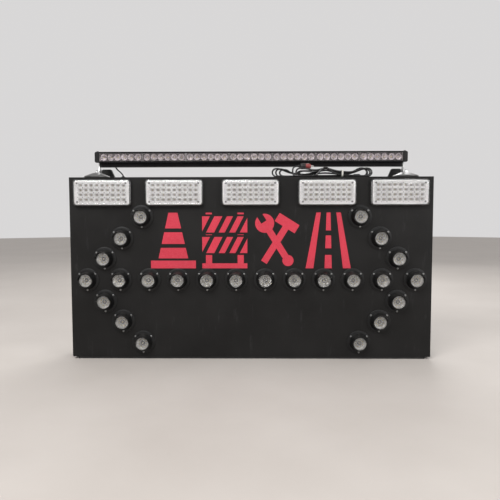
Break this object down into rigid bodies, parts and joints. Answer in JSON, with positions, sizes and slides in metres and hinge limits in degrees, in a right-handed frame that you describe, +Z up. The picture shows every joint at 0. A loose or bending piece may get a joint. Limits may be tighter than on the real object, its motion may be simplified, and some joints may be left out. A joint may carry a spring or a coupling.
{
  "type": "vehicle-mount arrow board with light bar",
  "caption": "Flat black LED arrow board cabinet with hooded lamps, clear strobes and red pictograms, a tilting light bar on top and a stowed supply cable.",
  "frame": {"origin": "centre of the standing footprint box, on the floor under the foot strips", "axes": "+X to the right as seen from the front, the lamps face -Y, +Z up"},
  "size_m": [1.3, 0.19, 0.7553],
  "materials": {
    "painted_black": "satin black powder coat on sheet steel",
    "zinc_steel": "zinc-plated steel",
    "stainless": "stainless steel fasteners",
    "magnet_steel": "dull nickel-plated steel",
    "rubber": "matte black rubber",
    "lamp_plastic": "moulded black plastic",
    "lamp_lens": "clear polycarbonate with small optics",
    "strobe_lens": "clear ribbed polycarbonate",
    "led_board": "white circuit board with yellow-white LEDs",
    "controller_plastic": "grey ABS",
    "circuit_board": "green circuit board",
    "symbol_red": "red retroreflective sheet",
    "anodised": "black anodised aluminium",
    "cap_paint": "black painted die casting",
    "bar_window": "clear polycarbonate window",
    "reflector": "vacuum-metallised cups",
    "cable": "glossy black PVC sheath",
    "tie": "pale nylon tie",
    "plug_plastic": "black moulded plug",
    "plug_red": "dull red moulded nose",
    "plated": "bright nickel plate"
  },
  "bodies": {
    "cabinet": {"bar_lead": "cable", "bar_lead_gland": "cable", "bottom_wall": "painted_black", "bracket_left": "zinc_steel", "bracket_nuts": "zinc_steel", "bracket_right": "zinc_steel", "cable_hank": "cable", "cable_tie": "tie", "controller_board": "circuit_board", "controller_case": "controller_plastic", "controller_lid": "controller_plastic", "foot_strips": "rubber", "front_panel": "painted_black", "lamp_led_boards": "led_board", "lamp_screws": "stainless", "left_head_lamp_housings": "lamp_plastic", "left_head_lamp_lenses": "lamp_lens", "magnet_bases": "magnet_steel", "magnet_pads": "rubber", "mount_rail_left": "zinc_steel", "mount_rail_right": "zinc_steel", "plug_body": "plug_plastic", "plug_contacts": "plated", "plug_ring": "plug_red", "rail_backing_bars": "zinc_steel", "rail_bolts": "zinc_steel", "rear_cover": "painted_black", "rear_cover_screws": "stainless", "rest_blocks": "rubber", "right_head_lamp_housings": "lamp_plastic", "right_head_lamp_lenses": "lamp_lens", "shaft_lamp_housings": "lamp_plastic", "shaft_lamp_lenses": "lamp_lens", "side_wall_left": "painted_black", "side_wall_right": "painted_black", "strobe_bases": "rubber", "strobe_led_boards": "led_board", "strobe_lens_1": "strobe_lens", "strobe_lens_2": "strobe_lens", "strobe_lens_3": "strobe_lens", "strobe_lens_4": "strobe_lens", "strobe_lens_5": "strobe_lens", "strobe_screws": "stainless", "supply_cable": "cable", "supply_gland": "cable", "symbol_barrier": "symbol_red", "symbol_cone": "symbol_red", "symbol_road": "symbol_red", "symbol_tools": "symbol_red", "top_wall": "painted_black", "wiring_loom": "cable"},
    "light_bar": {"bar_housing": "anodised", "bar_lens": "bar_window", "bar_led_board": "led_board", "bar_reflectors": "reflector", "bar_end_cap_left": "cap_paint", "bar_end_cap_right": "cap_paint", "bar_cap_screws": "stainless", "pivot_bolts": "stainless"},
    "plug_pin": {"plug_tip": "plated"}
  },
  "joints": [
    {"name": "bar_tilt", "type": "hinge", "parent": "cabinet", "child": "light_bar", "pos_m": [0, 0.007, 0.729], "axis": [1, 0, 0], "range_deg": [-30, 20], "deforming": ["bar_lead"]},
    {"name": "plug_tip_slide", "type": "slide", "parent": "cabinet", "child": "plug_pin", "axis": [1, 0, 0], "range_m": [-0.004, 0], "stiffness_N_per_m": 400, "springref_m": 0.003}
  ]
}
